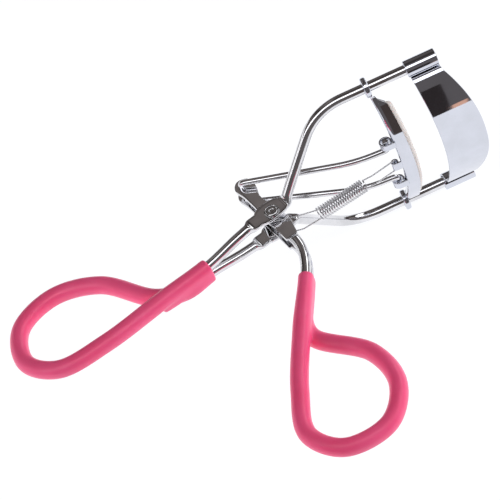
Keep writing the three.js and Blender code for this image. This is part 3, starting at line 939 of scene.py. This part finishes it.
frame_wire()
lever_wire()
dipped_coat("frame_loop_coat", FRAME_HANDLE, 12.0, 0.95, "frame", "frame_grip")
dipped_coat("lever_loop_coat", LEVER_HANDLE, 15.0, 0.84, "lever", "lever_grip")
rivet()
washer("left_washer")
washer("right_washer")
push_link()
fixed_jaw()
moving_jaw()
jaw_pad()
return_spring()


# --- stage ----------------------------------------------------------------------------------------

def floor():
    """A large pale sheet that lights up evenly, as a studio sweep does."""
    size = 4.0
    corners = [(-size, -size, 0), (size, -size, 0), (size, size, 0), (-size, size, 0)]
    below = np.array(corners) - (0, 0, 0.0002)
    made = piece("studio_floor", below, [(0, 1, 2, 3)], metres=True)
    material, tree, shader = new_material("pale_floor")
    tone = ramp(tree, noise(tree, 3), [(0.3, (0.19, 0.19, 0.20)), (0.7, (0.21, 0.21, 0.22))])
    tree.links.new(tone, shader.inputs["Base Color"])
    shader.inputs["Roughness"].default_value = 0.9
    shader.inputs["Emission Color"].default_value = (0.97, 0.98, 1, 1)
    shader.inputs["Emission Strength"].default_value = 0.93
    made.data.materials.append(material)


def soft_light(name, place, size, watts):
    """A lamp aimed at the tool. Reflections don't show it, since the cards are there for that."""
    lamp = bpy.data.lights.new(name, "AREA")
    lamp.shape = "RECTANGLE"
    lamp.size, lamp.size_y = size
    lamp.energy = watts
    made = bpy.data.objects.new(name, lamp)
    bpy.context.scene.collection.objects.link(made)
    made.location = place
    way = Vector((0, 0, 0.02)) - Vector(place)
    made.rotation_euler = way.to_track_quat("-Z", "Y").to_euler()
    made.visible_glossy = False


def card(name, low, high, shade):
    """A flat card between two opposite corners, which shows only in reflections."""
    low, high = np.array(low), np.array(high)
    flat = int(np.argmin(high - low))
    first, second = (axis for axis in range(3) if axis != flat)
    corners = [low.copy(), low.copy(), high.copy(), high.copy()]
    corners[1][first] = high[first]
    corners[3][first] = low[first]
    corners[2][second] = high[second]
    made = piece(name, corners, [(0, 1, 2, 3)], metres=True)
    material, tree, shader = new_material(name)
    tone = ramp(tree, noise(tree, 6), [(0.3, shade), (0.7, tuple(1.3 * c for c in shade))])
    shader.inputs["Base Color"].default_value = (0, 0, 0, 1)
    tree.links.new(tone, shader.inputs["Emission Color"])
    shader.inputs["Emission Strength"].default_value = 1.0
    shader.inputs["Roughness"].default_value = 0.9
    made.data.materials.append(material)
    made.visible_camera = False
    made.visible_diffuse = False
    made.visible_shadow = False


def world():
    """A pale backdrop to the camera, and a dim room to everything else."""
    sky = bpy.data.worlds.new("studio")
    sky.use_nodes = True
    tree = sky.node_tree
    background = tree.nodes["Background"]
    place = tree.nodes.new("ShaderNodeTexCoord")
    clouds = tree.nodes.new("ShaderNodeTexNoise")
    clouds.inputs["Scale"].default_value = 2.4
    clouds.inputs["Detail"].default_value = 2
    tree.links.new(place.outputs["Generated"], clouds.inputs["Vector"])
    dim = ramp(tree, clouds.outputs["Fac"], [(0.42, (0.022, 0.019, 0.019)), (0.66, (0.26, 0.23, 0.22))])
    tree.links.new(dim, background.inputs["Color"])
    backdrop = tree.nodes.new("ShaderNodeBackground")
    backdrop.inputs["Color"].default_value = (0.97, 0.98, 1.0, 1)
    seen = tree.nodes.new("ShaderNodeLightPath")
    mix = tree.nodes.new("ShaderNodeMixShader")
    tree.links.new(seen.outputs["Is Camera Ray"], mix.inputs["Fac"])
    tree.links.new(background.outputs["Background"], mix.inputs[1])
    tree.links.new(backdrop.outputs["Background"], mix.inputs[2])
    tree.links.new(mix.outputs["Shader"], tree.nodes["World Output"].inputs["Surface"])
    bpy.context.scene.world = sky


def camera():
    """The camera looks down on the tool from beyond the finger loops' side."""
    lens = bpy.data.cameras.new("camera")
    lens.lens = 226.7
    lens.sensor_width = 36
    made = bpy.data.objects.new("camera", lens)
    bpy.context.scene.collection.objects.link(made)
    right = Vector((0.90971, -0.32626, -0.25687))
    up = Vector((0.41462, 0.67973, 0.60503))
    back = right.cross(up)
    place = Vector(at((-21.675, -420.628, 477.952)))
    made.matrix_world = Matrix.Translation(place) @ Matrix((right, up, back)).transposed().to_4x4()
    lens.clip_start, lens.clip_end = 0.01, 10
    bpy.context.scene.camera = made


floor()
world()
camera()
card("dim_wall", (-0.6, -0.080, 0.0), (0.6, -0.080, 0.5), (0.10, 0.09, 0.09))
card("brown_flag", (0.0385, -0.079, 0.0), (0.0475, -0.079, 0.085), (0.050, 0.036, 0.032))
card("black_flag", (0.0512, -0.079, 0.0), (0.0582, -0.079, 0.052), (0.018, 0.013, 0.013))
card("warm_card", (0.0588, -0.079, 0.0), (0.0628, -0.079, 0.007), (0.72, 0.40, 0.28))
card("front_band", (-0.6, -0.078, 0.167), (0.6, -0.078, 0.42), (2.1, 2.1, 2.15))
card("right_band", (0.30, 0.0, 0.16), (0.30, 0.5, 0.30), (2.0, 2.0, 2.0))
card("left_band", (-0.30, 0.0, 0.09), (-0.30, 0.5, 0.15), (1.2, 1.2, 1.2))
soft_light("front", (0, -0.25, 0.567), (0.9, 0.18), 1.1)
soft_light("left", (-0.7, 0.0, 0.22), (0.5, 0.2), 2.0)
soft_light("right", (0.7, -0.1, 0.22), (0.5, 0.2), 3.6)
bpy.context.scene.view_settings.view_transform = "Standard"
